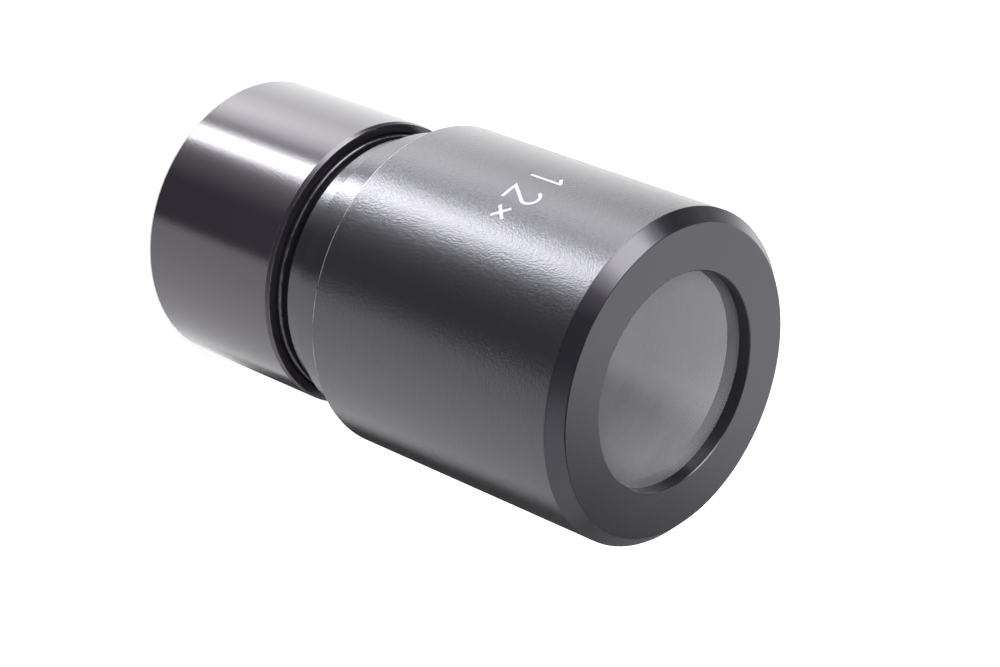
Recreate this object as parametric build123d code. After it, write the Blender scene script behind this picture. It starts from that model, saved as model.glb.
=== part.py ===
"""Reticle eyepiece for a stereo microscope: a turned body on a 30.5 mm insertion barrel.

The eyepiece stands on the open end of its barrel, with the eye end up. Its optical axis is Z and
the centre of the barrel's open end is the origin. Sizes are millimetres, and a height is the
distance above the open end.
"""

import os

from build123d import *

# Insertion barrel, the tube that slides into the microscope
barrel_radius = 15.25
barrel_wall = 1.1
barrel_length = 18.6
barrel_rear_chamfer = 0.3
barrel_front_bevel = 0.55
barrel_front_bevel_depth = 0.12
barrel_inner_chamfer = 0.15

# Spigot between the barrel and the neck: a low ridge, a thread relief groove and a plain land
ridge_height = 0.45
ridge_round = 0.2
groove_width = 1.05
groove_depth = 2.05
groove_edge_chamfer = 0.08
land_length = 2.5

# Neck
neck_length = 4.3
neck_chamfer = 0.12

# Body shell, whose outside radius carries the threads, the cell and the lenses inside it
body_radius = 17.1
body_length = 31.4
body_rear_chamfer = 0.15
seam_chamfer = 0.1
spigot_length = 6.2
spigot_lead_in = 0.4
shoulder_wall = 1.9
cap_thread_wall = 1.5
cell_ledge = 0.7
cell_air_gap = 1.5
cell_register_depth = 2.2

# Eye cap, the chamfered ring that closes the eye end
cap_thickness = 1.43
cap_chamfer = 1.27
cap_face_round = 0.2
cap_bore_chamfer = 0.08
cap_lip_width = 0.98
cap_thread_length = 2.5
cap_spigot_wall = 1.4

# Cell that holds the lenses
cell_flange_thickness = 1.5
cell_wall = 1.3
cell_lip_height = 2.0
cell_lip_width = 0.7

# Lenses, each with a flat rim for its seat
lens_rim = 0.65
field_lens_edge = 2.2
field_lens_curve = 20.0
crown_rear_curve = 30.0
crown_edge = 2.3
cement_curve = 26.0
flint_edge = 3.7
flint_front_curve = 96.0

# Spacer between the two lens groups, with shallow grooves against stray light
spacer_wall = 0.65
spacer_groove_pitch = 2.0
spacer_groove_depth = 0.25
spacer_plain_end = 1.6

# Reticle bore, field stop and reticle, which load through the open end of the barrel
spigot_wall = 1.15
seat_width = 1.05
field_plane_drop = 2.7
field_stop_thickness = 1.0
field_stop_width = 2.05
field_stop_edge = 0.2
reticle_thickness = 1.5
reticle_bevel = 0.2
washer_thickness = 0.3
washer_width = 1.4
reticle_ring_thickness = 2.2
reticle_ring_width = 1.6
spanner_slot_width = 1.6
spanner_slot_depth = 0.9

# Divided cross on the reticle
scale_margin = 1.0
scale_line_width = 0.08
scale_line_height = 0.03
scale_division = 1.0
scale_divisions_per_long_mark = 5
long_mark_length = 1.6
short_mark_length = 0.8

# Clearances
thread_clearance = 0.05
glass_clearance = 0.05

# Heights that follow from the sizes above
ridge_top = barrel_length + ridge_height
spigot_bottom = ridge_top - spigot_length
land_bottom = ridge_top + groove_width
neck_bottom = land_bottom + land_length
shoulder_height = neck_bottom + neck_length
body_top = shoulder_height + body_length
cell_bottom = shoulder_height + shoulder_wall
register_top = cell_bottom + cell_register_depth
flange_top = body_top - cap_thread_length
flange_bottom = flange_top - cell_flange_thickness
lens_seat = cell_bottom + cell_lip_height
cement_rim = body_top - flint_edge
crown_rim = cement_rim - crown_edge
field_lens_rim = lens_seat + field_lens_edge
seat_height = shoulder_height - field_plane_drop
stop_bottom = seat_height - field_stop_thickness
reticle_bottom = stop_bottom - reticle_thickness
washer_bottom = reticle_bottom - washer_thickness
reticle_ring_bottom = washer_bottom - reticle_ring_thickness

# Radii that follow, from the outside of the body inwards
cap_thread_radius = body_radius - cap_thread_wall
cavity_radius = cap_thread_radius - cell_ledge
cell_radius = cavity_radius - cell_air_gap
lens_bore_radius = cell_radius - cell_wall
lens_radius = lens_bore_radius - glass_clearance
clear_radius = lens_radius - lens_rim
cell_lip_radius = lens_radius - cell_lip_width
cap_bore_radius = lens_bore_radius - cap_lip_width

# Radii that follow, from the outside of the barrel inwards
barrel_bore_radius = barrel_radius - barrel_wall
spigot_radius = barrel_bore_radius - thread_clearance
groove_foot_radius = barrel_radius - groove_depth
reticle_bore_radius = groove_foot_radius - spigot_wall
reticle_radius = reticle_bore_radius - glass_clearance
seat_radius = reticle_bore_radius - seat_width
field_stop_radius = reticle_bore_radius - field_stop_width
scale_half_length = field_stop_radius - scale_margin
washer_bore_radius = reticle_radius - washer_width
reticle_ring_bore_radius = reticle_radius - reticle_ring_width


def turned(*points):
    """A solid of revolution about Z from the (radius, height) corners of its section."""
    section = make_face(Polyline(*[(radius, 0, height) for radius, height in points], close=True))
    return revolve(section, Axis.Z)


def tube(outer_radius, inner_radius, bottom, top):
    """A plain ring between two heights."""
    return turned((inner_radius, bottom), (outer_radius, bottom), (outer_radius, top), (inner_radius, top))


def rims(solid, radius, height):
    """The circular edges of the given radius at the given height."""
    circles = solid.edges().filter_by(GeomType.CIRCLE)
    return [e for e in circles if abs(e.radius - radius) < 1e-4 and abs(e.arc_center.Z - height) < 1e-4]


def cap_height(curve, radius):
    """How far a sphere of radius curve rises above its chord of the given half width."""
    return curve - (curve**2 - radius**2) ** 0.5


def dome(curve, base_height, half_width, upwards):
    """A spherical cap on a flat base, either above or below that base."""
    rise = cap_height(curve, half_width)
    top = base_height + rise if upwards else base_height - rise
    middle_radius = half_width / 2
    drop = cap_height(curve, middle_radius)
    middle = top - drop if upwards else top + drop
    arc = ThreePointArc((half_width, 0, base_height), (middle_radius, 0, middle), (0, 0, top))
    axis_line = Line((0, 0, top), (0, 0, base_height))
    base_line = Line((0, 0, base_height), (half_width, 0, base_height))
    return revolve(make_face([arc, axis_line, base_line]), Axis.Z)


def insertion_barrel():
    """Thin tube that screws on to the body's spigot and slides into the microscope."""
    barrel = turned(
        (barrel_bore_radius, 0),
        (barrel_radius, 0),
        (barrel_radius, barrel_length - barrel_front_bevel),
        (barrel_radius - barrel_front_bevel_depth, barrel_length),
        (barrel_bore_radius, barrel_length),
    )
    barrel = chamfer(rims(barrel, barrel_radius, 0), barrel_rear_chamfer)
    barrel = chamfer(rims(barrel, barrel_bore_radius, 0), barrel_rear_chamfer)
    return chamfer(rims(barrel, barrel_bore_radius, barrel_length), barrel_inner_chamfer)


def body_shell():
    """Body, shoulder, neck and threaded spigot with its relief groove, turned in one piece."""
    shell = turned(
        (reticle_bore_radius, spigot_bottom),
        (spigot_radius, spigot_bottom),
        (spigot_radius, ridge_top),
        (groove_foot_radius, ridge_top),
        (groove_foot_radius, land_bottom),
        (spigot_radius, land_bottom),
        (spigot_radius, neck_bottom),
        (barrel_radius, neck_bottom),
        (barrel_radius, shoulder_height),
        (body_radius, shoulder_height),
        (body_radius, body_top),
        (cap_thread_radius, body_top),
        (cap_thread_radius, flange_bottom),
        (cavity_radius, flange_bottom),
        (cavity_radius, register_top),
        (cell_radius + thread_clearance, register_top),
        (cell_radius + thread_clearance, cell_bottom),
        (seat_radius, cell_bottom),
        (seat_radius, seat_height),
        (reticle_bore_radius, seat_height),
    )
    shell = chamfer(rims(shell, body_radius, shoulder_height), body_rear_chamfer)
    shell = chamfer(rims(shell, body_radius, body_top), seam_chamfer)
    shell = chamfer(rims(shell, barrel_radius, neck_bottom), neck_chamfer)
    shell = chamfer(rims(shell, spigot_radius, land_bottom), groove_edge_chamfer)
    shell = chamfer(rims(shell, spigot_radius, spigot_bottom), spigot_lead_in)
    return fillet(rims(shell, spigot_radius, ridge_top), ridge_round)


def eye_cap():
    """Chamfered ring that screws into the body, clamps the lens cell and holds the eye lens in it."""
    top = body_top + cap_thickness
    thread_radius = cap_thread_radius - thread_clearance
    cap = turned(
        (cap_bore_radius, body_top),
        (thread_radius - cap_spigot_wall, body_top),
        (thread_radius - cap_spigot_wall, flange_top),
        (thread_radius, flange_top),
        (thread_radius, body_top),
        (body_radius - seam_chamfer, body_top),
        (body_radius, body_top + seam_chamfer),
        (body_radius - cap_chamfer, top),
        (cap_bore_radius, top),
    )
    cap = chamfer(rims(cap, cap_bore_radius, top), cap_bore_chamfer)
    return fillet(rims(cap, body_radius - cap_chamfer, top), cap_face_round)


def lens_cell():
    """Thin tube with a flange at the top and a lip at the bottom, which holds the lens stack."""
    flange_radius = cap_thread_radius - thread_clearance
    cell_top = body_top - thread_clearance
    return turned(
        (cell_lip_radius, cell_bottom),
        (cell_radius, cell_bottom),
        (cell_radius, flange_bottom),
        (flange_radius, flange_bottom),
        (flange_radius, flange_top),
        (cell_radius, flange_top),
        (cell_radius, cell_top),
        (lens_bore_radius, cell_top),
        (lens_bore_radius, lens_seat),
        (cell_lip_radius, lens_seat),
    )


def glass_blank(bottom, top):
    """The cylinder between the rims of a lens."""
    return extrude(Plane.XY.offset(bottom) * Circle(lens_radius), top - bottom)


def field_lens():
    """Lens with a flat face towards the reticle and a domed face towards the eye."""
    blank = glass_blank(lens_seat, field_lens_rim)
    return blank + dome(field_lens_curve, field_lens_rim, clear_radius, upwards=True)


def crown_element():
    """Lower element of the cemented eye doublet, domed on both sides."""
    blank = glass_blank(crown_rim, cement_rim)
    blank += dome(cement_curve, cement_rim, lens_radius, upwards=True)
    return blank + dome(crown_rear_curve, crown_rim, clear_radius, upwards=False)


def flint_element():
    """Upper element of the cemented eye doublet, hollow below and gently domed in the cap's bore."""
    blank = glass_blank(cement_rim, body_top)
    blank += dome(flint_front_curve, body_top, cap_bore_radius - glass_clearance, upwards=True)
    return blank - dome(cement_curve, cement_rim, lens_radius, upwards=True)


def lens_spacer():
    """Tube between the rims of the two lens groups, grooved inside against stray light."""
    inner_radius = lens_radius - spacer_wall
    spacer = tube(lens_radius, inner_radius, field_lens_rim, crown_rim)
    grooved_length = crown_rim - field_lens_rim - 2 * spacer_plain_end
    groove_count = int(grooved_length / spacer_groove_pitch)
    half_pitch = spacer_groove_pitch / 2
    for i in range(groove_count):
        height = field_lens_rim + spacer_plain_end + i * spacer_groove_pitch + half_pitch
        spacer -= turned(
            (inner_radius - spacer_groove_depth, height - half_pitch),
            (inner_radius + spacer_groove_depth, height),
            (inner_radius - spacer_groove_depth, height + half_pitch),
        )
    return spacer


def field_stop():
    """Thin ring whose sharp inner edge bounds the field of view."""
    outer_radius = reticle_bore_radius - thread_clearance
    return turned(
        (field_stop_radius, stop_bottom),
        (outer_radius, stop_bottom),
        (outer_radius, seat_height),
        (field_stop_radius + field_stop_thickness - field_stop_edge, seat_height),
        (field_stop_radius, stop_bottom + field_stop_edge),
    )


def reticle_glass():
    """Glass disc that carries the divided cross on its upper face."""
    disc = extrude(Plane.XY.offset(reticle_bottom) * Circle(reticle_radius), reticle_thickness)
    return chamfer(rims(disc, reticle_radius, reticle_bottom), reticle_bevel)


def bar(length_x, length_y):
    """A thin line on the upper face of the reticle."""
    outline = Rectangle(length_x, length_y)
    return extrude(Plane.XY.offset(stop_bottom) * outline, scale_line_height)


def reticle_scale():
    """Cross with a mark at every division and a longer mark at every fifth."""
    full_length = 2 * scale_half_length
    cross = bar(full_length, scale_line_width) + bar(scale_line_width, full_length)
    divisions = int(scale_half_length / scale_division)
    marks = []
    for i in range(1, divisions + 1):
        is_long = i % scale_divisions_per_long_mark == 0
        length = long_mark_length if is_long else short_mark_length
        for place in (-i * scale_division, i * scale_division):
            marks.append(Pos(place, 0, 0) * bar(scale_line_width, length))
            marks.append(Pos(0, place, 0) * bar(length, scale_line_width))
    return cross.fuse(*marks)


def reticle_washer():
    """Thin ring between the reticle and its retaining ring."""
    return tube(reticle_radius, washer_bore_radius, washer_bottom, reticle_bottom)


def reticle_retaining_ring():
    """Threaded ring with two slots for a spanner across its lower face."""
    outer_radius = reticle_bore_radius - thread_clearance
    ring = tube(outer_radius, reticle_ring_bore_radius, reticle_ring_bottom, washer_bottom)
    slot = Box(3 * outer_radius, spanner_slot_width, 2 * spanner_slot_depth)
    return ring - Pos(0, 0, reticle_ring_bottom) * slot


def main():
    nodes = [
        insertion_barrel,
        body_shell,
        eye_cap,
        lens_cell,
        flint_element,
        crown_element,
        lens_spacer,
        field_lens,
        field_stop,
        reticle_glass,
        reticle_scale,
        reticle_washer,
        reticle_retaining_ring,
    ]
    os.makedirs("parts", exist_ok=True)
    for make_node in nodes:
        export_step(make_node(), f"parts/{make_node.__name__}.step")


main()
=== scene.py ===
"""Dresses the reticle eyepiece: black anodised metal, coated lenses and a painted power, in a pale studio.

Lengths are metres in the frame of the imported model, which stands on its barrel with +Z up.
"""

import math
from collections import namedtuple

import bmesh
import bpy
from mathutils import Matrix, Vector


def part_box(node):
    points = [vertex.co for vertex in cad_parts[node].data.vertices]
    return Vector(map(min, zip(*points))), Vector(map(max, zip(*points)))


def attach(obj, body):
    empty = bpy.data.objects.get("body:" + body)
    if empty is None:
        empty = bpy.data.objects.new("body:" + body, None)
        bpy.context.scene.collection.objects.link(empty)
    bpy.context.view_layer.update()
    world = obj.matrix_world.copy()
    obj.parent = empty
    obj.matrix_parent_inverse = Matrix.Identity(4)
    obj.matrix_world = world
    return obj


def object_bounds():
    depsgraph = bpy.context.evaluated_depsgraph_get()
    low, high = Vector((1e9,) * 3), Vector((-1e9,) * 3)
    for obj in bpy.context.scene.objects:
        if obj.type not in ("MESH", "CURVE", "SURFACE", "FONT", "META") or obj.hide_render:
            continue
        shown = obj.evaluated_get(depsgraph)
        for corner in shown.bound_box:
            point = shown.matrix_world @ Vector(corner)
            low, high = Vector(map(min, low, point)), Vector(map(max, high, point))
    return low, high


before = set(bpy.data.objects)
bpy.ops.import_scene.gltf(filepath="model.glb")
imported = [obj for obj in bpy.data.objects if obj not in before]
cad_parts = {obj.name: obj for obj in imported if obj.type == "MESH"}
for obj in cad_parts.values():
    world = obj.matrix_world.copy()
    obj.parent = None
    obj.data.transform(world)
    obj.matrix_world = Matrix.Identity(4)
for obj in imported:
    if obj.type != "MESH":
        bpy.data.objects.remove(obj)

cad_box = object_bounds()
MM = 0.001

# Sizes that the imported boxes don't tell
BARREL_BEVEL = 0.55 * MM
RIDGE_HEIGHT = 0.45 * MM
NECK_ABOVE_BARREL = 4.0 * MM
NECK_LENGTH = 4.3 * MM
CEMENT_CURVE = 26 * MM

# Heights and radii of the model
BARREL_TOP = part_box("insertion_barrel")[1].z
BARREL_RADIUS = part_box("insertion_barrel")[1].x
BODY_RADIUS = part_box("body_shell")[1].x
LENS_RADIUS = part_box("flint_element")[1].x
CEMENT_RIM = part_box("flint_element")[0].z
CEMENT_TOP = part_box("crown_element")[1].z
BEVEL_FOOT = BARREL_TOP - BARREL_BEVEL
RIDGE_TOP = BARREL_TOP + RIDGE_HEIGHT
NECK_BOTTOM = BARREL_TOP + NECK_ABOVE_BARREL
SHOULDER = NECK_BOTTOM + NECK_LENGTH

# Camera, at the photograph's viewing angle
CAMERA_PLACE = Vector((0, -0.233309, 0.225228))
CAMERA_AIM = Vector((0.001905, 0, 0.037325))
CAMERA_ROLL = math.radians(-111.68)
CAMERA_LENS_MM = 107.369
CAMERA_REACH = (0.01, 20)
SENSOR_MM = 36

# Studio panels that reflections see, as stops round a ring: compass direction in degrees from +X, and level
LOWEST_RING = (
    (0, 1.5), (33, 1.4), (55, 1.5), (75, 1.3), (97, 1.1), (129, 2.1), (162, 2.9), (184, 5.4), (195, 4.6),
    (205, 2.0), (212, 2.8), (214, 16), (227, 16), (229, 2.2), (240, 0.8), (262, 0.12), (297, 0.12),
    (302, 1.4), (340, 1.5),
)
LOW_RING = (
    (0, 1.3), (25, 0.95), (60, 0.7), (97, 1.0), (129, 1.9), (162, 2.6), (180, 3.2), (193, 2.4),
    (203, 1.4), (211, 1.8), (214, 15), (233, 15), (237, 3.4), (247, 1.5), (262, 0.4), (297, 0.25),
    (303, 1.1), (340, 1.45),
)
MIDDLE_RING = (
    (12, 1.05), (25, 0.8), (37, 0.42), (58, 0.34), (76, 0.2), (88, 0.12), (96, 0.3), (104, 1.0),
    (112, 1.5), (120, 1.4), (130, 0.9), (141, 0.5), (163, 0.2), (171, 0.4), (179, 2.4), (188, 7.4),
    (208, 7.0), (220, 3.0), (232, 0.8), (250, 0.2), (285, 0.15), (302, 0.32), (323, 0.8), (341, 1.05),
)
FACE_PANEL = ((0, 0.32), (86.5, 0.32), (89.5, 1.45), (140, 1.55), (150, 1.0))
SKY_LEVEL = 0.75
ZENITH_LEVEL = 0.1

# The brightest level of a ring: a colour ramp holds the levels as shares of it
RING_PEAK = 16.0

# Heights in degrees over which each panel fades into the next one up
LOW_FADE = (-44.5, -38)
MIDDLE_FADE = (-36.5, -32)
FACE_FADE = (8, 16)
ZENITH_FADE = (56, 62)

# Compass directions over which the panel that the face reflects begins and ends
FACE_BEGINS = (50, 60)
FACE_ENDS = (140, 150)

# A dark card low on the far side, in degrees: the height of its foot, the heights between which its start
# slants from one compass direction to the other, and the directions over which it ends
CARD_LEVEL = 0.06
CARD_FOOT = (-43.6, -42.8)
CARD_HEIGHTS = (-43, -37)
CARD_STARTS = (52, 36)
CARD_ENDS = (95, 99)
CARD_SOFTNESS = 3

FLOOR_RADIUS = 4.0
FLOOR_SEGMENTS = 96
FLOOR_ALBEDO = 0.8
FLOOR_UNEVENNESS = 0.01
FLOOR_GRAIN_DEPTH = 0.02 * MM
FLOOR_GLOW = 0.3

# Unevenness of the finishes
SHADE_SPREAD = 0.15
GLOSS_SPREAD = (0.85, 1.2)
TURNING_SCALES = (60, 60, 5500)
TURNING_DEPTH = 0.0016 * MM
NECK_GRAIN_SHARE = 0.6
SHOULDER_BLEND = 0.05 * MM
SKIN_INDEX = 1.7
PLAIN_GRAIN_SIZE = 0.1 * MM
PLAIN_GRAIN_DEPTH = 0.003 * MM
PAINT_GRAIN_DEPTH = 0.01 * MM

# Noise values over which a pattern goes from its least to its most
WEAR_AND_HIGHLIGHT_NOISE = (0.35, 0.6)
SMUDGE_NOISE = (0.3, 0.75)
DUST_AND_REFLECTION_NOISE = (0.2, 0.8)
FILM_NOISE = (0.3, 0.8)
CHIP_NOISE = (0.66, 0.72)

# A film on the glass, partly dust and partly a painted reflection that stands in for the lens's inner
# reflections. It grows along a direction from the first place on it to the second
DUST_AND_REFLECTION_DIRECTION = (0.874, 0.486)
DUST_AND_REFLECTION_PLACES = (-3 * MM, 10 * MM)
DUST_AND_REFLECTION_SHARES = (0.85, 1.6)
DUST_AND_REFLECTION_SPREAD = (0.93, 1.07)
COATED_DUST = (0.004, 0.012)

# How near a point of the glass has to be to count as on the cement or on the edge
CEMENT_REACH = 0.08 * MM
CEMENT_LEAST_SHARE = 0.3
CEMENT_RIM_REACH = 0.01 * MM
LENS_EDGE_REACH = 0.03 * MM

# Rims where the black skin is worn off to pale bare metal, which also serves as a painted highlight along
# the rim edges: where they are, how wide, and the share that is bare
Rim = namedtuple("Rim", "height least_radius half_width share")
BARREL_RIMS = (
    Rim(BEVEL_FOOT, BARREL_RADIUS - 0.2 * MM, 0.05 * MM, 0.06),
    Rim(BARREL_TOP - 0.04 * MM, BARREL_RADIUS - 0.3 * MM, 0.05 * MM, 0.1),
)
BODY_RIMS = (
    Rim(SHOULDER + 0.14 * MM, BODY_RADIUS - 0.1 * MM, 0.12 * MM, 0.5),
    Rim(RIDGE_TOP - 0.05 * MM, BARREL_RADIUS - 1.4 * MM, 0.06 * MM, 0.15),
)

# Painted power on the body: the height of its figures' middle, and each one's compass direction in degrees
MARK_HEIGHT = 44.1 * MM
MARK_COMPASS = (-142.97, -131.47, -121.82)
STROKE_WIDTH = 0.36 * MM
STROKE_STEP = 0.2 * MM
SHARPEST_MITRE = 0.4
PAINT_THICKNESS = 0.02 * MM

# Inputs and output of a Mix node that mixes colours: factor, first and second colour, and the result
COLOUR_MIX_INPUTS = (0, 6, 7)
COLOUR_MIX_OUTPUT = 2


class Graph:
    """Short calls that add nodes to a tree and join them."""

    def __init__(self, tree):
        self.tree = tree
        tree.nodes.clear()

    def feed(self, socket, value):
        """Links an output to the socket, or sets the socket's own value."""
        if isinstance(value, bpy.types.NodeSocket):
            self.tree.links.new(value, socket)
        else:
            socket.default_value = value

    def add(self, kind, inputs=None, **settings):
        node = self.tree.nodes.new("ShaderNode" + kind)
        for name, value in settings.items():
            setattr(node, name, value)
        for name, value in (inputs or {}).items():
            self.feed(node.inputs[name], value)
        return node

    def shader(self, kind, inputs):
        return self.add(kind, inputs).outputs[0]

    def mix_shaders(self, factor, first, second):
        return self.shader("MixShader", {0: factor, 1: first, 2: second})

    def place(self):
        """Where a point is in its object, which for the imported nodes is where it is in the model."""
        return self.add("TexCoord").outputs["Object"]

    def axes(self, vector):
        return self.add("SeparateXYZ", {0: vector}).outputs

    def math(self, operation, *values):
        return self.add("Math", dict(enumerate(values)), operation=operation).outputs[0]

    def between(self, value, low, high, out_low=0.0, out_high=1.0, smooth=True):
        """value mapped from low..high to out_low..out_high, with soft ends."""
        inputs = {"Value": value, "From Min": low, "From Max": high, "To Min": out_low, "To Max": out_high}
        kind = "SMOOTHSTEP" if smooth else "LINEAR"
        return self.add("MapRange", inputs, interpolation_type=kind).outputs["Result"]

    def near(self, value, centre, half_width):
        """One within half of half_width from centre, and zero beyond half_width."""
        away = self.math("ABSOLUTE", self.math("SUBTRACT", value, centre))
        return self.between(away, half_width * 0.5, half_width, 1.0, 0.0)

    def noise(self, where, scale, detail=2.0, roughness=0.5):
        inputs = {"Vector": where, "Scale": scale, "Detail": detail, "Roughness": roughness}
        return self.add("TexNoise", inputs).outputs["Fac"]

    def stretched(self, where, scale):
        return self.add("VectorMath", {0: where, 1: scale}, operation="MULTIPLY").outputs[0]

    def distance(self, where, centre):
        return self.add("VectorMath", {0: where, 1: centre}, operation="DISTANCE").outputs["Value"]

    def axis_distance(self, where):
        """How far a point is from the optical axis."""
        return self.distance(self.stretched(where, (1, 1, 0)), (0, 0, 0))

    def mix_colour(self, factor, first, second):
        node = self.add("Mix", data_type="RGBA")
        for socket, value in zip(COLOUR_MIX_INPUTS, (factor, first, second)):
            self.feed(node.inputs[socket], value)
        return node.outputs[COLOUR_MIX_OUTPUT]

    def bump(self, height, depth, below=None):
        """A bump whose height of 0 to 1 stands for depth in metres, over the bump below it."""
        inputs = {"Height": height, "Distance": depth, "Strength": 1.0}
        if below is not None:
            inputs["Normal"] = below
        return self.add("Bump", inputs).outputs["Normal"]

    def end(self, socket, kind="OutputMaterial"):
        self.add(kind, {"Surface": socket})


def material_graph(name):
    """A new material and the graph of its nodes."""
    material = bpy.data.materials.new(name)
    material.use_nodes = True
    return material, Graph(material.node_tree)


def grey(value):
    return (value, value, value, 1)


def shades(colour):
    """A darker and a lighter shade of a colour."""
    return [[part * share for part in colour] + [1] for share in (1 - SHADE_SPREAD, 1 + SHADE_SPREAD)]


def add_object(name, data):
    """A new object in the scene."""
    thing = bpy.data.objects.new(name, data)
    bpy.context.scene.collection.objects.link(thing)
    return thing


def add_mesh(name, shape):
    """A new object in the scene with the bmesh as its mesh. The bmesh is freed."""
    mesh = bpy.data.meshes.new(name)
    shape.to_mesh(mesh)
    shape.free()
    return add_object(name, mesh)


def make_camera():
    """A camera at CAMERA_PLACE that looks at CAMERA_AIM, rolled round its line of sight."""
    forward = (CAMERA_AIM - CAMERA_PLACE).normalized()
    level_right = forward.cross(Vector((0, 0, 1))).normalized()
    level_up = level_right.cross(forward)
    up = level_up * math.cos(CAMERA_ROLL) + level_right * math.sin(CAMERA_ROLL)
    right = forward.cross(up)
    turned = Matrix((right, up, -forward)).transposed().to_4x4()
    data = bpy.data.cameras.new("camera")
    data.lens = CAMERA_LENS_MM
    data.sensor_width = SENSOR_MM
    data.clip_start, data.clip_end = CAMERA_REACH
    camera = add_object("camera", data)
    camera.matrix_world = Matrix.Translation(CAMERA_PLACE) @ turned
    bpy.context.scene.camera = camera


def panels(graph, turn, stops):
    """The light of a ring of panels, as a share of RING_PEAK. turn is the compass direction in turns."""
    ramp = graph.add("ValToRGB", {"Fac": turn})
    elements = ramp.color_ramp.elements
    while len(elements) > 1:
        elements.remove(elements[-1])
    seam_level = stops[0][1] if stops[0][0] == 0 else (stops[0][1] + stops[-1][1]) / 2
    seam = grey(seam_level / RING_PEAK)
    elements[0].position = 0
    elements[0].color = seam
    for degrees, level in stops:
        if degrees > 0:
            elements.new(degrees / 360).color = grey(level / RING_PEAK)
    elements.new(1).color = seam
    return ramp.outputs["Color"]


def card_share(graph, height, degrees):
    """One inside the dark card. height and degrees are a direction's height and compass direction."""
    slanted_start = graph.between(height, *CARD_HEIGHTS, *CARD_STARTS, smooth=False)
    start = graph.between(graph.math("SUBTRACT", degrees, slanted_start), -CARD_SOFTNESS, CARD_SOFTNESS)
    end = graph.between(degrees, *CARD_ENDS, 1, 0)
    foot = graph.between(height, *CARD_FOOT)
    return graph.math("MULTIPLY", graph.math("MULTIPLY", start, end), foot)


def face_share(graph, height, degrees):
    """One inside the panel that the face reflects."""
    share = graph.math("MULTIPLY", graph.between(height, *FACE_FADE), graph.between(degrees, *FACE_BEGINS))
    return graph.math("MULTIPLY", share, graph.between(degrees, *FACE_ENDS, 1, 0))


def panel_light(graph):
    """What reflections see in each direction, as a share of RING_PEAK."""
    direction = graph.axes(graph.add("TexCoord").outputs["Generated"])
    compass = graph.math("ARCTAN2", direction["Y"], direction["X"])
    turn = graph.math("FRACT", graph.math("DIVIDE", compass, math.tau))
    degrees = graph.math("MULTIPLY", turn, 360)
    height = graph.math("DEGREES", graph.math("ARCSINE", direction["Z"]))
    lowest = panels(graph, turn, LOWEST_RING)
    low = panels(graph, turn, LOW_RING)
    light = graph.mix_colour(graph.between(height, *LOW_FADE, smooth=False), lowest, low)
    light = graph.mix_colour(card_share(graph, height, degrees), light, grey(CARD_LEVEL / RING_PEAK))
    light = graph.mix_colour(graph.between(height, *MIDDLE_FADE), light, panels(graph, turn, MIDDLE_RING))
    light = graph.mix_colour(face_share(graph, height, degrees), light, panels(graph, turn, FACE_PANEL))
    return graph.mix_colour(graph.between(height, *ZENITH_FADE), light, grey(ZENITH_LEVEL / RING_PEAK))


def make_world():
    """White to the camera, an even sky for soft light, and rings of panels for reflections."""
    world = bpy.data.worlds.new("studio")
    bpy.context.scene.world = world
    world.use_nodes = True
    world.cycles.sampling_method = "NONE"
    graph = Graph(world.node_tree)
    ray = graph.add("LightPath").outputs
    reflection = graph.shader("Background", {"Color": panel_light(graph), "Strength": RING_PEAK})
    sky = graph.shader("Background", {"Color": grey(1), "Strength": SKY_LEVEL})
    white = graph.shader("Background", {"Color": grey(1), "Strength": 1.0})
    is_soft = graph.math("GREATER_THAN", ray["Diffuse Depth"], 0.5)
    lit = graph.mix_shaders(is_soft, reflection, sky)
    graph.end(graph.mix_shaders(ray["Is Camera Ray"], lit, white), kind="OutputWorld")


def floor_paper():
    """Pale paper that glows a little to the camera alone."""
    material, graph = material_graph("floor_paper")
    fibre = graph.noise(graph.place(), scale=900, detail=3)
    dark, light = grey(FLOOR_ALBEDO - FLOOR_UNEVENNESS), grey(FLOOR_ALBEDO + FLOOR_UNEVENNESS)
    colour = graph.mix_colour(fibre, dark, light)
    paper = graph.shader("BsdfDiffuse", {"Color": colour, "Normal": graph.bump(fibre, FLOOR_GRAIN_DEPTH)})
    glow = graph.shader("Emission", {"Color": grey(1), "Strength": FLOOR_GLOW})
    glowing = graph.shader("AddShader", {0: paper, 1: glow})
    is_camera = graph.add("LightPath").outputs["Is Camera Ray"]
    graph.end(graph.mix_shaders(is_camera, paper, glowing))
    return material


def make_floor():
    """A plain pale floor, white to the camera apart from the shadow on it."""
    shape = bmesh.new()
    bmesh.ops.create_circle(shape, cap_ends=True, segments=FLOOR_SEGMENTS, radius=FLOOR_RADIUS)
    floor = add_mesh("floor", shape)
    floor.location.z = cad_box[0].z
    floor.visible_glossy = False
    floor.data.materials.append(floor_paper())


def make_lamp(name, place, size, power):
    """A square soft box that points at the middle of the object."""
    data = bpy.data.lights.new(name, "AREA")
    data.size = size
    data.energy = power
    lamp = add_object(name, data)
    lamp.location = place
    middle = (cad_box[0] + cad_box[1]) / 2
    lamp.rotation_euler = (middle - lamp.location).to_track_quat("-Z", "Y").to_euler()
    lamp.visible_glossy = False


def worn_and_highlight_share(graph, where, rims):
    """The share of the skin that is worn off to pale metal, in patches along the rims. The same patches
    also paint the thin highlights of the rim edges.
    """
    height = graph.axes(where)["Z"]
    radius = graph.axis_distance(where)
    patchy = graph.between(graph.noise(where, scale=500, detail=3, roughness=0.7), *WEAR_AND_HIGHLIGHT_NOISE)
    worn_and_highlit = None
    for rim in rims:
        line = graph.math("MULTIPLY", graph.near(height, rim.height, rim.half_width), patchy)
        line = graph.math("MULTIPLY", line, rim.share)
        line = graph.math("MULTIPLY", line, graph.math("GREATER_THAN", radius, rim.least_radius))
        worn_and_highlit = line if worn_and_highlit is None else graph.math("MAXIMUM", worn_and_highlit, line)
    return worn_and_highlit


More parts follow.
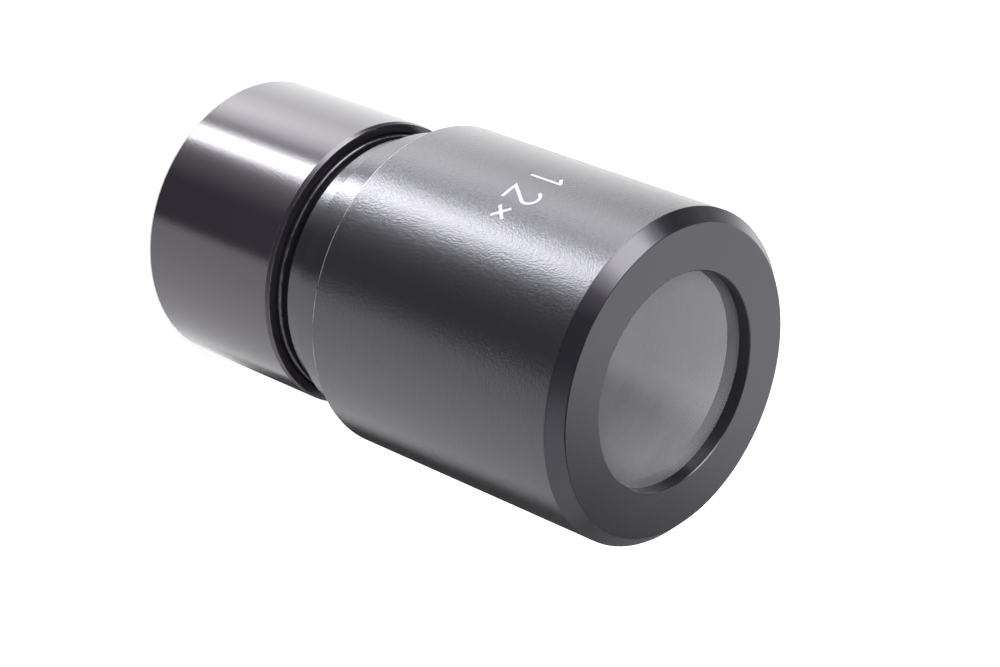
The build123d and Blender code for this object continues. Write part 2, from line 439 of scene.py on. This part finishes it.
def anodised(name, colour, gloss_tint, roughness, grain_size, grain_depth, rims=()):
    """Black anodised aluminium: a dyed skin with a clear surface, fine grain and faint turning lines."""
    material, graph = material_graph(name)
    where = graph.place()
    tint = graph.mix_colour(graph.noise(where, scale=60, detail=3), *shades(colour))
    smudge = graph.noise(where, scale=140, detail=4, roughness=0.6)
    dull = graph.between(smudge, *SMUDGE_NOISE, *(roughness * share for share in GLOSS_SPREAD))
    turning = graph.noise(graph.stretched(where, TURNING_SCALES), scale=1, detail=3, roughness=0.6)
    grain = graph.noise(where, scale=1 / grain_size, detail=3, roughness=0.6)
    blend = (SHOULDER - SHOULDER_BLEND, SHOULDER + SHOULDER_BLEND)
    grain_share = graph.between(graph.axes(where)["Z"], *blend, NECK_GRAIN_SHARE, 1)
    grain = graph.math("MULTIPLY", grain, grain_share)
    skin = graph.bump(grain, grain_depth, graph.bump(turning, TURNING_DEPTH))
    surface = graph.shader(
        "BsdfPrincipled",
        {
            "Base Color": tint,
            "Roughness": dull,
            "IOR": SKIN_INDEX,
            "Specular Tint": gloss_tint,
            "Normal": skin,
        },
    )
    if rims:
        # Pale bare metal on the rims: partly edge wear, partly a painted highlight that stands in for the
        # thin edge highlights.
        bare_and_highlit = graph.shader(
            "BsdfPrincipled",
            {"Base Color": (0.42, 0.41, 0.44, 1), "Roughness": 0.35, "Metallic": 0.3, "Normal": skin},
        )
        surface = graph.mix_shaders(worn_and_highlight_share(graph, where, rims), surface, bare_and_highlit)
    graph.end(surface)
    return material


def dust_and_reflection_share(graph, where, haze_and_reflection):
    """The share of the glass under a diffuse film that is partly dust and partly painted reflection: the
    given amount, a little uneven and more on one side.
    """
    film = graph.noise(where, scale=250, detail=4, roughness=0.6)
    amount = graph.between(film, *DUST_AND_REFLECTION_NOISE, *(haze_and_reflection * share for share in DUST_AND_REFLECTION_SPREAD))
    flat = graph.axes(where)
    parts = [graph.math("MULTIPLY", flat[axis], part) for axis, part in zip("XY", DUST_AND_REFLECTION_DIRECTION)]
    side_share = graph.between(graph.math("ADD", *parts), *DUST_AND_REFLECTION_PLACES, *DUST_AND_REFLECTION_SHARES)
    return graph.math("MULTIPLY", amount, side_share)


def is_cemented(graph, where):
    """One on the sphere where the two elements of the eye lens are cemented, and zero elsewhere."""
    radius = graph.distance(where, (0, 0, CEMENT_TOP - CEMENT_CURVE))
    on_sphere = graph.near(radius, CEMENT_CURVE, CEMENT_REACH)
    above_rim = graph.math("GREATER_THAN", graph.axes(where)["Z"], CEMENT_RIM - CEMENT_RIM_REACH)
    return graph.math("GREATER_THAN", graph.math("MULTIPLY", on_sphere, above_rim), CEMENT_LEAST_SHARE)


def glass(name, index, haze_and_reflection):
    """Polished glass with a film of dust that is partly a painted reflection of its inner reflections, and
    a black edge. Its cemented face passes light straight on.
    """
    material, graph = material_graph(name)
    where = graph.place()
    clear = graph.shader(
        "BsdfPrincipled",
        {
            "Base Color": (0.97, 0.975, 0.985, 1),
            "Roughness": 0.01,
            "IOR": index,
            "Transmission Weight": 1.0,
        },
    )
    # A diffuse grey film: dust, and on the eye lens also a painted reflection that stands in for the grey
    # of its inner reflections.
    dust_and_reflection = graph.shader("BsdfDiffuse", {"Color": (0.8, 0.79, 0.85, 1)})
    straight = graph.shader("BsdfTransparent", {"Color": grey(0.99)})
    black = graph.shader("BsdfDiffuse", {"Color": grey(0.01)})
    is_edge = graph.math("GREATER_THAN", graph.axis_distance(where), LENS_RADIUS - LENS_EDGE_REACH)
    surface = graph.mix_shaders(dust_and_reflection_share(graph, where, haze_and_reflection), clear, dust_and_reflection)
    surface = graph.mix_shaders(is_cemented(graph, where), surface, straight)
    graph.end(graph.mix_shaders(is_edge, surface, black))
    return material


def coated(name):
    """Coated glass without reflection or refraction, with a little dust on it."""
    material, graph = material_graph(name)
    clear = graph.shader("BsdfTransparent", {"Color": (0.95, 0.95, 0.96, 1)})
    dust_and_reflection = graph.shader("BsdfDiffuse", {"Color": (0.5, 0.5, 0.52, 1)})
    film = graph.noise(graph.place(), scale=300, detail=3)
    graph.end(graph.mix_shaders(graph.between(film, *FILM_NOISE, *COATED_DUST), clear, dust_and_reflection))
    return material


def plain(name, colour, roughness, shine=0.5):
    """A plain material with a little variation and grain."""
    material, graph = material_graph(name)
    where = graph.place()
    tint = graph.mix_colour(graph.noise(where, scale=200, detail=3), *shades(colour))
    grain = graph.noise(where, scale=1 / PLAIN_GRAIN_SIZE, detail=2)
    surface = graph.shader(
        "BsdfPrincipled",
        {
            "Base Color": tint,
            "Roughness": roughness,
            "Specular IOR Level": shine,
            "Normal": graph.bump(grain, PLAIN_GRAIN_DEPTH),
        },
    )
    graph.end(surface)
    return material


def mark_paint():
    """White stamped paint, slightly uneven, with tiny chips that show the black below."""
    material, graph = material_graph("mark_paint")
    where = graph.place()
    uneven = graph.noise(where, scale=1500, detail=3, roughness=0.6)
    chips = graph.between(graph.noise(where, scale=5200, detail=2), *CHIP_NOISE)
    white = graph.mix_colour(uneven, (0.4, 0.39, 0.43, 1), (0.54, 0.53, 0.58, 1))
    colour = graph.mix_colour(chips, white, (0.12, 0.12, 0.13, 1))
    skin = graph.bump(uneven, PAINT_GRAIN_DEPTH)
    graph.end(graph.shader("BsdfPrincipled", {"Base Color": colour, "Roughness": 0.5, "Normal": skin}))
    return material


def figure_one():
    """A stem with a short flag, as strokes of (across, up) points in millimetres."""
    return [[(0.15, 2.0), (0.15, -2.0)], [(0.15, 1.9), (-0.75, 1.15)]]


def figure_two():
    """A hook over the top, a slanting back and a foot, as one stroke."""
    hook_radius = 0.95
    hook_height = 1.0
    hook_degrees = range(165, -50, -15)
    hook = []
    for degrees in hook_degrees:
        turn = math.radians(degrees)
        hook.append((hook_radius * math.cos(turn), hook_height + hook_radius * math.sin(turn)))
    return [hook + [(-0.95, -1.83), (1.05, -1.83)]]


def times_sign():
    """Two crossed strokes, a little below the middle of the figures."""
    return [[(-0.75, 0.35), (0.75, -1.15)], [(-0.75, -1.15), (0.75, 0.35)]]


def dense(points, step):
    """The same line with points no further apart than step."""
    line = [Vector(points[0])]
    for point in points[1:]:
        start = line[-1].copy()
        end = Vector(point)
        count = max(1, math.ceil((end - start).length / step))
        line += [start.lerp(end, i / count) for i in range(1, count + 1)]
    return line


def on_body(flat, radius, compass):
    """A point on the unrolled body, given across and up from the figures' middle, wrapped at a radius."""
    turn = math.radians(compass) + flat.x / BODY_RADIUS
    return (radius * math.cos(turn), radius * math.sin(turn), MARK_HEIGHT + flat.y)


def half_width_at(line, i):
    """The way from a point of the line to the side of its ribbon, mitred where two stretches meet."""
    place = line[i]
    before = (place - line[max(i - 1, 0)]).normalized()
    after = (line[min(i + 1, len(line) - 1)] - place).normalized()
    along = (before + after).normalized()
    mitre = 1 / max(SHARPEST_MITRE, along.dot(after if i == 0 else before))
    return Vector((-along.y, along.x)) * STROKE_WIDTH / 2 * mitre


def add_stroke(shape, points, compass):
    """A ribbon of paint along the points, wrapped on the body at a compass direction in degrees."""
    line = dense([(across * MM, up * MM) for across, up in points], STROKE_STEP)
    inner = BODY_RADIUS - PAINT_THICKNESS
    outer = BODY_RADIUS + PAINT_THICKNESS
    rows = []
    for i, place in enumerate(line):
        side = half_width_at(line, i)
        left, right = place + side, place - side
        corners = ((left, inner), (left, outer), (right, outer), (right, inner))
        rows.append([shape.verts.new(on_body(flat, radius, compass)) for flat, radius in corners])
    for first, second in zip(rows, rows[1:]):
        for i in range(3):
            shape.faces.new((first[i], first[i + 1], second[i + 1], second[i]))
    shape.faces.new(rows[0])
    shape.faces.new(reversed(rows[-1]))


def make_mark():
    """The power of the eyepiece, painted on the body."""
    shape = bmesh.new()
    for strokes, compass in zip((figure_one(), figure_two(), times_sign()), MARK_COMPASS):
        for points in strokes:
            add_stroke(shape, points, compass)
    bmesh.ops.recalc_face_normals(shape, faces=shape.faces)
    mark = add_mesh("power_mark", shape)
    mark.data.materials.append(mark_paint())
    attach(mark, "root")


def dress(material, *nodes):
    """Gives CAD nodes a material in place of their plain one."""
    for name in nodes:
        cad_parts[name].material_slots[0].material = material


def dress_metal():
    """The three outer pieces, each with its own black, gloss and grain."""
    barrel_black = anodised(
        "barrel_black",
        colour=(0.0128, 0.0112, 0.0155),
        gloss_tint=(0.94, 0.89, 1, 1),
        roughness=0.08,
        grain_size=0.18 * MM,
        grain_depth=0.015 * MM,
        rims=BARREL_RIMS,
    )
    body_black = anodised(
        "body_black",
        colour=(0.0104, 0.0098, 0.0125),
        gloss_tint=(0.89, 0.89, 1, 1),
        roughness=0.085,
        grain_size=0.2 * MM,
        grain_depth=0.029 * MM,
        rims=BODY_RIMS,
    )
    cap_black = anodised(
        "cap_black",
        colour=(0.0062, 0.0057, 0.0079),
        gloss_tint=(0.92, 0.89, 1, 1),
        roughness=0.1,
        grain_size=0.35 * MM,
        grain_depth=0.002 * MM,
    )
    dress(barrel_black, "insertion_barrel")
    dress(body_black, "body_shell")
    dress(cap_black, "eye_cap")


def dress_inner_parts():
    """The pieces that hold the lenses and the reticle, and the scale on it."""
    inner_matte = plain("inner_matte", colour=(0.006, 0.006, 0.007), roughness=0.75, shine=0.1)
    dress(inner_matte, "lens_cell", "lens_spacer", "field_stop", "reticle_retaining_ring")
    dress(plain("washer_matte", colour=(0.03, 0.03, 0.03), roughness=0.6), "reticle_washer")
    dress(plain("scale_film", colour=(0.02, 0.02, 0.022), roughness=0.35), "reticle_scale")


def dress_glass():
    """The lenses and the reticle's disc. The eye lens carries most of the dust, which on it is also a
    painted reflection that stands in for its inner reflections.
    """
    dress(glass("flint_glass", index=1.7, haze_and_reflection=0.085), "flint_element")
    dress(glass("crown_glass", index=1.52, haze_and_reflection=0.005), "reticle_glass")
    dress(coated("crown_coated"), "crown_element", "field_lens")


make_camera()
make_world()
make_floor()
make_lamp("key", place=(-0.35, -0.3, 0.6), size=0.5, power=6)
make_lamp("fill", place=(0.5, -0.1, 0.4), size=0.5, power=3)
dress_metal()
dress_inner_parts()
dress_glass()
make_mark()

bpy.context.scene.view_settings.view_transform = "Standard"
